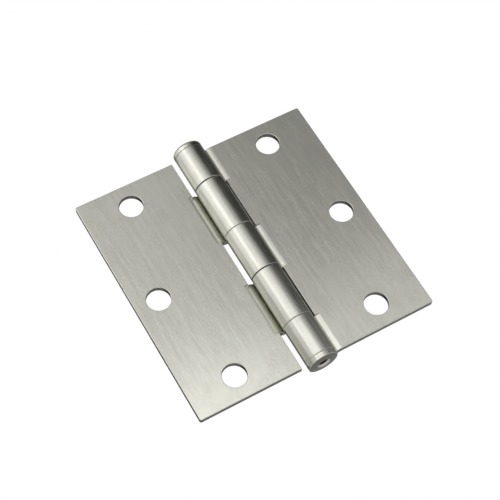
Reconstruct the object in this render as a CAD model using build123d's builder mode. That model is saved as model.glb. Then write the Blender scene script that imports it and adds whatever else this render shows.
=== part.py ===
"""A 3 1/2 inch loose-pin butt hinge, lying open flat.

The Z axis is the pin's axis, with the pin's head up. The front of the hinge, where the
barrel stands proud, faces -Y. The jamb leaf lies at +X and the door leaf at -X. The
origin is on the pin's axis, halfway up the leaves.
"""
from build123d import *
import os
from math import asin, cos, degrees, radians, sin

# ---- driving dimensions, in millimetres and degrees ----
HEIGHT = 88.9                # height of both leaves
LEAF_REACH = 44.45           # pin axis to a leaf's free edge
SHEET = 2.2                  # thickness of the leaf steel
LEAF_SET_BACK = 1.4          # pin axis to a leaf's front face, half the gap of the closed hinge
CORNER_ROUND = 0.6           # the leaves' square corners, just broken
EDGE_ROUND = 0.2             # tumbled edges of the leaves and knuckles

KNUCKLE_JOINTS = (29.9, 9.05, -9.05, -29.9)   # heights of the four joints, from the top
JOINT_GAP_ABOVE = 0.3        # play above each door-leaf knuckle
JOINT_GAP_BELOW = 0.08       # the door leaf hangs low, so there is less below it
NOTCH_REACH = 6.85           # pin axis to the leaf's edge beside the other leaf's knuckles

SWAGE_START = 8.5            # pin axis to where a leaf starts to bend back
SWAGE_ANGLE = 42.0           # steepest slope of that bend
CURL_SWEEP = 300.0           # how far the rolled end goes round the pin, from the barrel's back

SCREW_HOLE_DIAMETER = 8.5
SCREW_HOLE_SPACING = 72.0    # between the outer two holes of a leaf
OUTER_HOLE_REACH = 27.2      # pin axis to the outer two holes
MIDDLE_HOLE_REACH = 35.75    # pin axis to the middle hole

PIN_DIAMETER = 6.3
PIN_CLEARANCE = 0.05         # radial running clearance of the pin in the knuckles
PIN_SEAT_GAP = 0.05          # under the head
PIN_TIP_GAP = 1.5            # between the pin's tip and the plug
PIN_TIP_CHAMFER = 0.8
HEAD_HEIGHT = 2.4            # from the head's seat to the top of its dome
HEAD_DOME = 0.5              # how much of that is the low dome
HEAD_EDGE_ROUND = 0.9        # between the head's rim and its dome

PLUG_SHANK_LENGTH = 5.0      # pressed into the lowest knuckle
PLUG_CAP_HEIGHT = 2.3        # from the barrel's end to the middle of the plug's end face
PLUG_CROWN = 0.35            # how far that face bulges
KNOCK_OUT_DIAMETER = 3.6     # hole for the punch that drives the pin out
KNOCK_OUT_CHAMFER = 0.55

# ---- sizes worked out from them ----
HALF_HEIGHT = HEIGHT / 2
PIN_RADIUS = PIN_DIAMETER / 2
BORE_RADIUS = PIN_RADIUS + PIN_CLEARANCE
BARREL_RADIUS = BORE_RADIUS + SHEET
MID_RADIUS = BORE_RADIUS + SHEET / 2
LEAF_MID_Y = LEAF_SET_BACK + SHEET / 2
SWAGE_RADIUS = (MID_RADIUS - LEAF_MID_Y) / 2 / (1 - cos(radians(SWAGE_ANGLE)))
SWAGE_END = SWAGE_START - 2 * SWAGE_RADIUS * sin(radians(SWAGE_ANGLE))
KNOCK_OUT_RADIUS = KNOCK_OUT_DIAMETER / 2
PLUG_SHANK_TOP = -HALF_HEIGHT + PLUG_SHANK_LENGTH
PIN_SEAT = HALF_HEIGHT + PIN_SEAT_GAP
PIN_TIP = PLUG_SHANK_TOP + PIN_TIP_GAP

# ---- heights of each leaf's knuckles, and of the zones left free for the other's ----
FIRST, SECOND, THIRD, FOURTH = KNUCKLE_JOINTS
JAMB_KNUCKLES = ((FIRST, HALF_HEIGHT), (THIRD, SECOND), (-HALF_HEIGHT, FOURTH))
JAMB_NOTCHES = ((SECOND, FIRST), (FOURTH, THIRD))
DOOR_KNUCKLES = (
    (SECOND + JOINT_GAP_BELOW, FIRST - JOINT_GAP_ABOVE),
    (FOURTH + JOINT_GAP_BELOW, THIRD - JOINT_GAP_ABOVE),
)
DOOR_NOTCHES = (
    (FIRST - JOINT_GAP_ABOVE, HALF_HEIGHT),
    (THIRD - JOINT_GAP_ABOVE, SECOND + JOINT_GAP_BELOW),
    (-HALF_HEIGHT, FOURTH + JOINT_GAP_BELOW),
)
JAMB_SIDE = 1
DOOR_SIDE = -1
FRONT_FACE = Plane.XZ.offset(-LEAF_SET_BACK)


def plate(side, notches):
    """The flat of a leaf, with its three screw holes and its edges rounded.

    It starts where its knuckles bend away, and reaches further in, to the notch edge,
    beside the other leaf's knuckles.
    """
    outer_hole = SCREW_HOLE_SPACING / 2
    tongue = SWAGE_START - NOTCH_REACH
    with BuildPart() as flat:
        with BuildSketch(FRONT_FACE) as outline:
            with Locations((side * (SWAGE_START + LEAF_REACH) / 2, 0)):
                Rectangle(LEAF_REACH - SWAGE_START, HEIGHT)
            for low, high in notches:
                with Locations((side * (NOTCH_REACH + tongue / 2), (low + high) / 2)):
                    Rectangle(tongue, high - low)
            fillet(outline.vertices().group_by(Axis.X)[-1 if side > 0 else 0], CORNER_ROUND)
            with Locations(
                (side * OUTER_HOLE_REACH, outer_hole),
                (side * MIDDLE_HOLE_REACH, 0),
                (side * OUTER_HOLE_REACH, -outer_hole),
            ):
                Circle(SCREW_HOLE_DIAMETER / 2, mode=Mode.SUBTRACT)
        extrude(amount=-SHEET)
        fillet(flat.faces().filter_by(Axis.Y).edges().filter_by(is_free_edge), EDGE_ROUND)
    return flat.part


def is_free_edge(edge):
    """True for a plate's outer edges, notch edges and hole rims, false where a knuckle joins."""
    place = edge.center(CenterOf.BOUNDING_BOX)
    if edge.geom_type == GeomType.CIRCLE:
        return True
    at_end = abs(abs(place.Z) - HALF_HEIGHT) < EDGE_ROUND
    at_reach = abs(abs(place.X) - LEAF_REACH) < EDGE_ROUND
    at_notch = abs(abs(place.X) - NOTCH_REACH) < EDGE_ROUND
    return at_end or at_reach or at_notch


def is_off_plate(edge):
    """True for a knuckle's edges, false for those where it meets the flat of the leaf."""
    return abs(edge.center().X) < SWAGE_START - EDGE_ROUND


def knuckle(side, low, high):
    """One knuckle: the leaf bends back, runs tangent to the barrel's back and curls round the pin."""
    first_bend = (SWAGE_START, LEAF_MID_Y + SWAGE_RADIUS)
    second_bend = (SWAGE_END, MID_RADIUS - SWAGE_RADIUS)
    wide = SWAGE_RADIUS + SHEET / 2
    tight = SWAGE_RADIUS - SHEET / 2
    with BuildPart() as rolled:
        with BuildSketch(Plane.XY.offset(low)):
            with BuildLine():
                front_bend = CenterArc(first_bend, wide, -90, -SWAGE_ANGLE)
                front_dip = CenterArc(second_bend, tight, 90 - SWAGE_ANGLE, SWAGE_ANGLE)
                bore = CenterArc((0, 0), BORE_RADIUS, 90, CURL_SWEEP)
                Line(front_dip @ 1, bore @ 0)
                barrel = CenterArc((0, 0), BARREL_RADIUS, 90, CURL_SWEEP)
                Line(bore @ 1, barrel @ 1)
                back_dip = CenterArc(second_bend, wide, 90 - SWAGE_ANGLE, SWAGE_ANGLE)
                Line(barrel @ 0, back_dip @ 1)
                back_bend = CenterArc(first_bend, tight, -90, -SWAGE_ANGLE)
                Line(back_bend @ 0, front_bend @ 0)
            make_face()
            if side == DOOR_SIDE:
                mirror(about=Plane.YZ, mode=Mode.REPLACE)
        extrude(amount=high - low)
        fillet(rolled.faces().filter_by(Axis.Z).edges().filter_by(is_off_plate), EDGE_ROUND)
    return rolled.part


os.makedirs("parts", exist_ok=True)

# ---- jamb leaf: knuckles one, three and five ----
with BuildPart() as jamb_leaf:
    add(plate(JAMB_SIDE, JAMB_NOTCHES))
    for low, high in JAMB_KNUCKLES:
        add(knuckle(JAMB_SIDE, low, high))
jamb_leaf.part.label = "jamb_leaf"
export_step(jamb_leaf.part, "parts/jamb_leaf.step")

# ---- door leaf: knuckles two and four ----
with BuildPart() as door_leaf:
    add(plate(DOOR_SIDE, DOOR_NOTCHES))
    for low, high in DOOR_KNUCKLES:
        add(knuckle(DOOR_SIDE, low, high))
door_leaf.part.label = "door_leaf"
export_step(door_leaf.part, "parts/door_leaf.step")

# ---- hinge pin: a domed button head and a shank that stops short of the plug ----
dome_radius = (BARREL_RADIUS**2 + HEAD_DOME**2) / (2 * HEAD_DOME)
dome_half_angle = degrees(asin(BARREL_RADIUS / dome_radius))
dome_centre = (0, PIN_SEAT + HEAD_HEIGHT - dome_radius)
with BuildPart() as hinge_pin:
    with BuildSketch(Plane.XZ) as half_section:
        with BuildLine():
            dome = CenterArc(dome_centre, dome_radius, 90 - dome_half_angle, dome_half_angle)
            Polyline(
                dome @ 1,
                (0, PIN_TIP),
                (PIN_RADIUS - PIN_TIP_CHAMFER, PIN_TIP),
                (PIN_RADIUS, PIN_TIP + PIN_TIP_CHAMFER),
                (PIN_RADIUS, PIN_SEAT),
                (BARREL_RADIUS, PIN_SEAT),
                dome @ 0,
            )
        make_face()
        under_rim, over_rim = half_section.vertices().group_by(Axis.X)[-1].sort_by(Axis.Y)
        fillet(over_rim, HEAD_EDGE_ROUND)
        fillet(under_rim, EDGE_ROUND)
    revolve(axis=Axis.Z)
hinge_pin.part.label = "hinge_pin"
export_step(hinge_pin.part, "parts/hinge_pin.step")

# ---- end plug: a cap the size of the barrel, a pressed shank and a knock-out hole ----
crown_radius = (BARREL_RADIUS**2 + PLUG_CROWN**2) / (2 * PLUG_CROWN)
crown_half_angle = degrees(asin(BARREL_RADIUS / crown_radius))
mouth_angle = degrees(asin((KNOCK_OUT_RADIUS + KNOCK_OUT_CHAMFER) / crown_radius))
crown_centre = (0, -HALF_HEIGHT - PLUG_CAP_HEIGHT + crown_radius)
with BuildPart() as end_plug:
    with BuildSketch(Plane.XZ) as half_section:
        with BuildLine():
            crown = CenterArc(crown_centre, crown_radius, mouth_angle - 90, crown_half_angle - mouth_angle)
            Polyline(
                crown @ 0,
                (KNOCK_OUT_RADIUS, (crown @ 0).Y + KNOCK_OUT_CHAMFER),
                (KNOCK_OUT_RADIUS, PLUG_SHANK_TOP),
                (BORE_RADIUS, PLUG_SHANK_TOP),
                (BORE_RADIUS, -HALF_HEIGHT),
                (BARREL_RADIUS, -HALF_HEIGHT),
                crown @ 1,
            )
        make_face()
        fillet(half_section.vertices().group_by(Axis.X)[-1], EDGE_ROUND)
    revolve(axis=Axis.Z)
end_plug.part.label = "end_plug"
export_step(end_plug.part, "parts/end_plug.step")
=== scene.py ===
"""Looks for a loose-pin butt hinge in satin nickel, lying open flat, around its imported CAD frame.

Metres throughout. Z is the pin's axis, the hinge's front faces -Y, the jamb leaf lies at +X.
"""

from math import cos, pi, radians, sin

import bpy
from mathutils import Matrix, Vector


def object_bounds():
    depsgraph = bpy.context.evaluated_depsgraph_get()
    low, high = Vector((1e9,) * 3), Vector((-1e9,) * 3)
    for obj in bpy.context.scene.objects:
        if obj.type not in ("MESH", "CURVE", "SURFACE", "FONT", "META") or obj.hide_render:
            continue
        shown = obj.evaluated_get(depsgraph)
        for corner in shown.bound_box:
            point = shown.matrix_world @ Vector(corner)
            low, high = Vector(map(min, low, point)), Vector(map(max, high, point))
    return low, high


MM = 0.001

# ---- camera: seen from the front, from the left and below, and rolled ----
VIEW_AZIMUTH = -17.68
VIEW_ELEVATION = -23.47
VIEW_ROLL = -32.89
VIEW_DISTANCE = 462.85 * MM
VIEW_AIM = Vector((-0.25, 0.0, 1.05)) * MM
SENSOR = 36.0
LENS = 98.61

# ---- floor ----
FLOOR_DROP = 0.36            # below the hinge, so that a camera under the hinge stands above it
FLOOR_SIZE = 40.0
FLOOR_COLOUR = (0.82, 0.82, 0.81, 1)
FLOOR_ROUGHNESS = 0.9
FLOOR_GLOW = 0.30            # the floor is lit from beneath, like a light table

# ---- soft rectangular lights that face the hinge: azimuth, elevation, width, height, brightness ----
LIGHT_DISTANCE = 0.5
LIGHTS = {
    "side_softbox": (-110, 20, 0.30, 0.40, 0.80),
    "left_softbox": (-70, 30, 0.28, 0.22, 1.30),
    "left_skirt": (-70, 6, 0.28, 0.20, 0.60),
    "key_softbox": (-38, 30, 0.20, 0.22, 1.90),
    "key_skirt": (-38, 6, 0.20, 0.20, 1.40),
    "front_left_softbox": (-14, 30, 0.18, 0.20, 1.10),
    "front_left_skirt": (-14, 6, 0.18, 0.20, 1.70),
    "front_softbox": (6, 30, 0.16, 0.20, 0.68),
    "front_skirt": (6, 8, 0.16, 0.16, 1.85),
    "front_right_softbox": (26, 28, 0.16, 0.20, 0.34),
    "front_right_skirt": (26, 8, 0.16, 0.16, 0.88),
    "right_skirt": (46, 6, 0.16, 0.18, 0.55),
    "right_fill": (80, 5, 0.30, 0.20, 0.30),
    "back_right_fill": (130, 10, 0.40, 0.30, 0.30),
}

# ---- the room: dim, with a broad glow overhead ----
AMBIENT = 0.01
GLOW_AZIMUTH = 180
GLOW_ELEVATION = 75
GLOW_FULL = 30               # degrees from its middle, within which it is at full strength
GLOW_EDGE = 62               # and where it is gone
GLOW_STRENGTH = 0.60

# ---- satin nickel over steel, with painted shade for the plug's lower end: linear colours ----
NICKEL = (0.64, 0.64, 0.575)
WORN_NICKEL = (0.80, 0.79, 0.74)
TARNISH = (0.50, 0.495, 0.42)
BARE_STEEL = (0.20, 0.195, 0.18)
SCALE_GREY = (0.10, 0.10, 0.095)
# painted shade: a darker colour for the plug's downward-facing end, standing in for the shade it lies in
SHADED_PLUG_END = (0.15, 0.148, 0.135)

# ---- its patterns: each size is one wave, each pair of numbers is a faint and a strong spot ----
STREAK_WIDTH = 1.3 * MM
STREAK_LENGTH = 16.0 * MM
GRAIN_WIDTH = 0.45 * MM
GRAIN_LENGTH = 6.0 * MM
BLOTCH_SIZE = 7.0 * MM
SPOT_SIZE = BLOTCH_SIZE / 3  # blotches on the pin and the plug
SHEAR_WIDTH = 0.3 * MM       # of the marks that a die leaves through a sheared edge
TURNING_WIDTH = 0.2 * MM     # of the rings on the pin and the plug
BRUSH_DETAIL = 2.0           # levels of finer noise within each pattern
BLOTCH_DETAIL = 4.0
TURNING_DETAIL = 3.0
PATTERN_SPAN = (0.3, 0.7)    # noise values that brushing and turning marks run between
BLOTCH_SPAN = (0.40, 0.75)   # and that tarnish runs between
DULLING_SPAN = (0.4, 0.7)    # and that its roughness runs between
SHEAR_SPAN = (0.35, 0.65)    # and that the marks on sheared edges run between
STREAK_SHARE = 0.6           # of the brushing, and the rest is grain
TONE = (0.94, 1.06)          # how much the marks darken and lighten the metal
LEAF_TARNISH = 0.18
TURNED_TARNISH = 0.25
LEAF_ROUGHNESS = (0.22, 0.26)
TURNED_ROUGHNESS = (0.23, 0.30)
BLOTCH_ROUGHNESS = 0.03      # added where the metal is tarnished
ROLLED_ROUGHNESS = 0.05      # added where a leaf is rolled
CUT_ROUGHNESS = 0.15         # added where a leaf is sheared
MARK_DEPTH = 0.001 * MM
WEAR_RADIUS = 0.5 * MM
WEAR_BEND = (0.995, 0.85)    # cosines of the turn over that radius where wear starts and is full
WEAR_PATCHES = (0.35, 0.6)   # blotch values that the wear is fainter and full at
WEAR_FAINT = 0.3
WEAR_SHARE = 0.35            # how far worn edges go to bright metal
EDGEWISE = (0.35, 0.2)       # how far a surface faces along Y where a leaf's edge starts and is full
LEAF_END = (0.9, 0.97)       # how far along Z, on a leaf's ends
LOWER_END = (-0.75, -0.95)   # how far along Z, on the lower end of a turned piece
BARREL_REACH = 6.0 * MM      # from the pin's axis: past the barrel, on the bend
FLAT_REACH = 8.0 * MM        # from the pin's axis: nearly on the flat of a leaf


def direction(azimuth, elevation):
    """Unit vector towards an azimuth, 0 being -Y and 90 being +X, and an elevation, in degrees."""
    a = radians(azimuth)
    e = radians(elevation)
    return Vector((sin(a) * cos(e), -cos(a) * cos(e), sin(e)))


class Nodes:
    """Short calls for building a node tree."""

    def __init__(self, tree):
        self.tree = tree
        tree.nodes.clear()

    def new(self, kind, settings=None, **inputs):
        """Adds a node, sets its properties, and links or sets its inputs, named or numbered as _0."""
        node = self.tree.nodes.new(kind)
        for name, value in (settings or {}).items():
            setattr(node, name, value)
        for name, value in inputs.items():
            socket = node.inputs[int(name[1:])] if name[0] == "_" else node.inputs[name.replace("_", " ")]
            if isinstance(value, bpy.types.NodeSocket):
                self.tree.links.new(value, socket)
            else:
                socket.default_value = value
        return node

    def math(self, operation, a, b=0.0):
        """The result of a Math node."""
        return self.new("ShaderNodeMath", {"operation": operation}, _0=a, _1=b).outputs[0]

    def fade(self, value, start, end, low=0.0, high=1.0):
        """A smooth step from low to high as value goes from start to end."""
        node = self.new(
            "ShaderNodeMapRange",
            {"interpolation_type": "SMOOTHSTEP"},
            Value=value,
            From_Min=start,
            From_Max=end,
            To_Min=low,
            To_Max=high,
        )
        return node.outputs[0]


def make_camera():
    """A camera that looks at the aim from the view's angles, rolled about its line of sight."""
    data = bpy.data.cameras.new("camera")
    data.lens = LENS
    data.sensor_width = SENSOR
    data.clip_start = 10 * MM
    camera = bpy.data.objects.new("camera", data)
    bpy.context.scene.collection.objects.link(camera)
    away = direction(VIEW_AZIMUTH, VIEW_ELEVATION)
    turn = away.to_track_quat("Z", "Y").to_matrix() @ Matrix.Rotation(radians(VIEW_ROLL), 3, "Z")
    camera.matrix_world = Matrix.Translation(VIEW_AIM + away * VIEW_DISTANCE) @ turn.to_4x4()
    bpy.context.scene.camera = camera


def make_world():
    """A white backdrop to the camera, and to everything else a dim room with a glow overhead."""
    world = bpy.data.worlds.new("studio")
    world.use_nodes = True
    bpy.context.scene.world = world
    n = Nodes(world.node_tree)
    ray = n.new("ShaderNodeTexCoord").outputs["Generated"]
    middle = direction(GLOW_AZIMUTH, GLOW_ELEVATION)
    lined_up = n.new("ShaderNodeVectorMath", {"operation": "DOT_PRODUCT"}, _0=ray, _1=middle)
    edge = cos(radians(GLOW_EDGE))
    full = cos(radians(GLOW_FULL))
    glow = n.fade(lined_up.outputs["Value"], edge, full, AMBIENT, GLOW_STRENGTH)
    studio = n.new("ShaderNodeBackground", Color=(1, 1, 1, 1), Strength=glow)
    backdrop = n.new("ShaderNodeBackground", Color=(1, 1, 1, 1))
    seen = n.new("ShaderNodeLightPath").outputs["Is Camera Ray"]
    mix = n.new("ShaderNodeMixShader", _0=seen, _1=studio.outputs[0], _2=backdrop.outputs[0])
    n.new("ShaderNodeOutputWorld", Surface=mix.outputs[0])


def make_light(name, azimuth, elevation, width, height, brightness):
    """A soft rectangular light that faces the hinge's middle, and that the camera doesn't see."""
    data = bpy.data.lights.new(name, "AREA")
    data.shape = "RECTANGLE"
    data.size = width
    data.size_y = height
    data.energy = brightness * pi * width * height
    light = bpy.data.objects.new(name, data)
    bpy.context.scene.collection.objects.link(light)
    light.visible_camera = False
    away = direction(azimuth, elevation)
    turn = away.to_track_quat("Z", "Y").to_matrix().to_4x4()
    light.matrix_world = Matrix.Translation(away * LIGHT_DISTANCE) @ turn


def make_floor():
    """A wide pale floor."""
    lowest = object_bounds()[0].z
    bpy.ops.mesh.primitive_plane_add(size=FLOOR_SIZE, location=(0, 0, lowest - FLOOR_DROP))
    floor = bpy.context.object
    floor.name = "floor"
    paint = bpy.data.materials.new("floor_paint")
    paint.use_nodes = True
    n = Nodes(paint.node_tree)
    coat = n.new(
        "ShaderNodeBsdfPrincipled",
        Base_Color=FLOOR_COLOUR,
        Roughness=FLOOR_ROUGHNESS,
        Emission_Color=FLOOR_COLOUR,
        Emission_Strength=FLOOR_GLOW,
    )
    n.new("ShaderNodeOutputMaterial", Surface=coat.outputs[0])
    floor.data.materials.append(paint)


def noise(n, place, sizes, detail=BRUSH_DETAIL):
    """Noise whose waves are as long as sizes along X, Y and Z."""
    stretched = n.new("ShaderNodeMapping", _0=place, Scale=[1 / size for size in sizes]).outputs[0]
    return n.new("ShaderNodeTexNoise", _0=stretched, Scale=1.0, Detail=detail).outputs[0]


def split(n, vector):
    """A vector's X, Y and Z."""
    return n.new("ShaderNodeSeparateXYZ", _0=vector).outputs


def edge_wear(n, patches):
    """1 along worn edges and 0 elsewhere, broken up by patches."""
    rounded = n.new("ShaderNodeBevel", {"samples": 4}, Radius=WEAR_RADIUS).outputs[0]
    straight = n.new("ShaderNodeNewGeometry").outputs["Normal"]
    same = n.new("ShaderNodeVectorMath", {"operation": "DOT_PRODUCT"}, _0=rounded, _1=straight)
    edge = n.fade(same.outputs["Value"], *WEAR_BEND)
    return n.math("MULTIPLY", edge, n.fade(patches, *WEAR_PATCHES, WEAR_FAINT, 1.0))


def blend(n, share, low, high):
    """A colour that goes from low to high with share."""
    mix = n.new("ShaderNodeMix", {"data_type": "RGBA"}, _0=share)
    for socket, value in ((mix.inputs[6], low), (mix.inputs[7], high)):
        if isinstance(value, bpy.types.NodeSocket):
            n.tree.links.new(value, socket)
        else:
            socket.default_value = (*value, 1)
    return mix.outputs[2]


def toned(n, colour, marks):
    """A colour, darkened and lightened a little by marks."""
    tone = n.fade(marks, *PATTERN_SPAN, *TONE)
    return n.new("ShaderNodeVectorMath", {"operation": "SCALE"}, _0=colour, Scale=tone).outputs[0]


def satin(n, marks, blotches, span):
    """Roughness that follows the marks, and is higher in the blotches."""
    tarnish = n.fade(blotches, *DULLING_SPAN, 0.0, BLOTCH_ROUGHNESS)
    return n.math("ADD", n.fade(marks, *PATTERN_SPAN, *span), tarnish)


def plated_metal(name):
    """A new material and its nodes."""
    paint = bpy.data.materials.new(name)
    paint.use_nodes = True
    return paint, Nodes(paint.node_tree)


def finish_metal(n, colour, roughness, marks):
    """Ends a metal's nodes in its shader, with the marks as its relief."""
    bump = n.new("ShaderNodeBump", Distance=MARK_DEPTH, Height=marks).outputs[0]
    coat = n.new(
        "ShaderNodeBsdfPrincipled",
        Metallic=1.0,
        Base_Color=colour,
        Roughness=roughness,
        Normal=bump,
    )
    n.new("ShaderNodeOutputMaterial", Surface=coat.outputs[0])


def brushed_leaf(name):
    """Satin plate brushed along the pin, softly tarnished, with sheared edges and bright corners."""
    paint, n = plated_metal(name)
    at = n.new("ShaderNodeTexCoord")
    place = at.outputs["Object"]
    streaks = noise(n, place, (STREAK_WIDTH, STREAK_WIDTH, STREAK_LENGTH))
    grain = noise(n, place, (GRAIN_WIDTH, GRAIN_WIDTH, GRAIN_LENGTH))
    blotches = noise(n, place, (BLOTCH_SIZE, BLOTCH_SIZE, BLOTCH_SIZE), BLOTCH_DETAIL)
    shear = noise(n, place, (SHEAR_WIDTH, STREAK_LENGTH, SHEAR_WIDTH))

    x = split(n, place)["X"]
    facing = split(n, at.outputs["Normal"])
    edgewise = n.fade(n.math("ABSOLUTE", facing["Y"]), *EDGEWISE)
    beyond_barrel = n.math("GREATER_THAN", n.math("ABSOLUTE", x), BARREL_REACH)
    ends = n.fade(n.math("ABSOLUTE", facing["Z"]), *LEAF_END)
    sheared = n.math("MAXIMUM", n.math("MULTIPLY", edgewise, beyond_barrel), ends)

    streak_part = n.math("MULTIPLY", streaks, STREAK_SHARE)
    brushed = n.math("ADD", streak_part, n.math("MULTIPLY", grain, 1 - STREAK_SHARE))
    tarnished = blend(n, n.fade(blotches, *BLOTCH_SPAN, 0.0, LEAF_TARNISH), NICKEL, TARNISH)
    plated = toned(n, tarnished, brushed)
    cut = blend(n, n.fade(shear, *SHEAR_SPAN), SCALE_GREY, BARE_STEEL)
    worn = n.math("MULTIPLY", edge_wear(n, blotches), WEAR_SHARE)
    colour = blend(n, worn, blend(n, sheared, plated, cut), WORN_NICKEL)

    cut_rough = n.fade(sheared, 0.0, 1.0, 0.0, CUT_ROUGHNESS)
    rolled_rough = n.fade(n.math("ABSOLUTE", x), FLAT_REACH, BARREL_REACH, 0.0, ROLLED_ROUGHNESS)
    rougher = n.math("MAXIMUM", cut_rough, rolled_rough)
    roughness = n.math("ADD", satin(n, brushed, blotches, LEAF_ROUGHNESS), rougher)
    finish_metal(n, colour, roughness, brushed)
    return paint


def turned_metal(name, end_colour):
    """Satin plate with rings round the pin's axis, where it was turned. Its downward-facing end takes
    end_colour, which on the plug is painted shade.
    """
    paint, n = plated_metal(name)
    at = n.new("ShaderNodeTexCoord")
    place = at.outputs["Object"]
    xyz = split(n, place)
    flat = n.new("ShaderNodeCombineXYZ", X=xyz["X"], Y=xyz["Y"]).outputs[0]
    radius = n.new("ShaderNodeVectorMath", {"operation": "LENGTH"}, _0=flat).outputs["Value"]
    section = n.new("ShaderNodeCombineXYZ", X=radius, Z=xyz["Z"]).outputs[0]
    rings = noise(n, section, (TURNING_WIDTH, TURNING_WIDTH, TURNING_WIDTH), TURNING_DETAIL)
    blotches = noise(n, place, (SPOT_SIZE, SPOT_SIZE, SPOT_SIZE), BLOTCH_DETAIL)

    tarnished = blend(n, n.fade(blotches, *BLOTCH_SPAN, 0.0, TURNED_TARNISH), NICKEL, TARNISH)
    # surfaces facing down take end_colour; on the plug this paints shade onto its lower end
    lower_end = n.fade(split(n, at.outputs["Normal"])["Z"], *LOWER_END)
    worn = n.math("MULTIPLY", edge_wear(n, blotches), WEAR_SHARE)
    colour = toned(n, blend(n, worn, blend(n, lower_end, tarnished, end_colour), WORN_NICKEL), rings)
    finish_metal(n, colour, satin(n, rings, blotches, TURNED_ROUGHNESS), rings)
    return paint


def dress(node, paint):
    """Gives a CAD node its material."""
    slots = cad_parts[node].data.materials
    slots.clear()
    slots.append(paint)


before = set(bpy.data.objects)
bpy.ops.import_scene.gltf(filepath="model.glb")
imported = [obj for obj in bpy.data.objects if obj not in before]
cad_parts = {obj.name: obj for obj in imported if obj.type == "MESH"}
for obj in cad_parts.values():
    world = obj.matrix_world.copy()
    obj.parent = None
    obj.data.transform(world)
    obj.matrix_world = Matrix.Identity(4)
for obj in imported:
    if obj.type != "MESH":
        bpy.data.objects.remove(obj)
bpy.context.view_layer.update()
bpy.context.scene.view_settings.view_transform = "Standard"
make_camera()
make_world()
make_floor()
for name, settings in LIGHTS.items():
    make_light(name, *settings)

leaf_metal = brushed_leaf("satin_nickel_leaf")
pin_metal = turned_metal("satin_nickel_pin", NICKEL)
# the plug's downward-facing end gets painted shade
plug_metal = turned_metal("satin_nickel_plug", SHADED_PLUG_END)
dress("jamb_leaf", leaf_metal)
dress("door_leaf", leaf_metal)
dress("hinge_pin", pin_metal)
dress("end_plug", plug_metal)
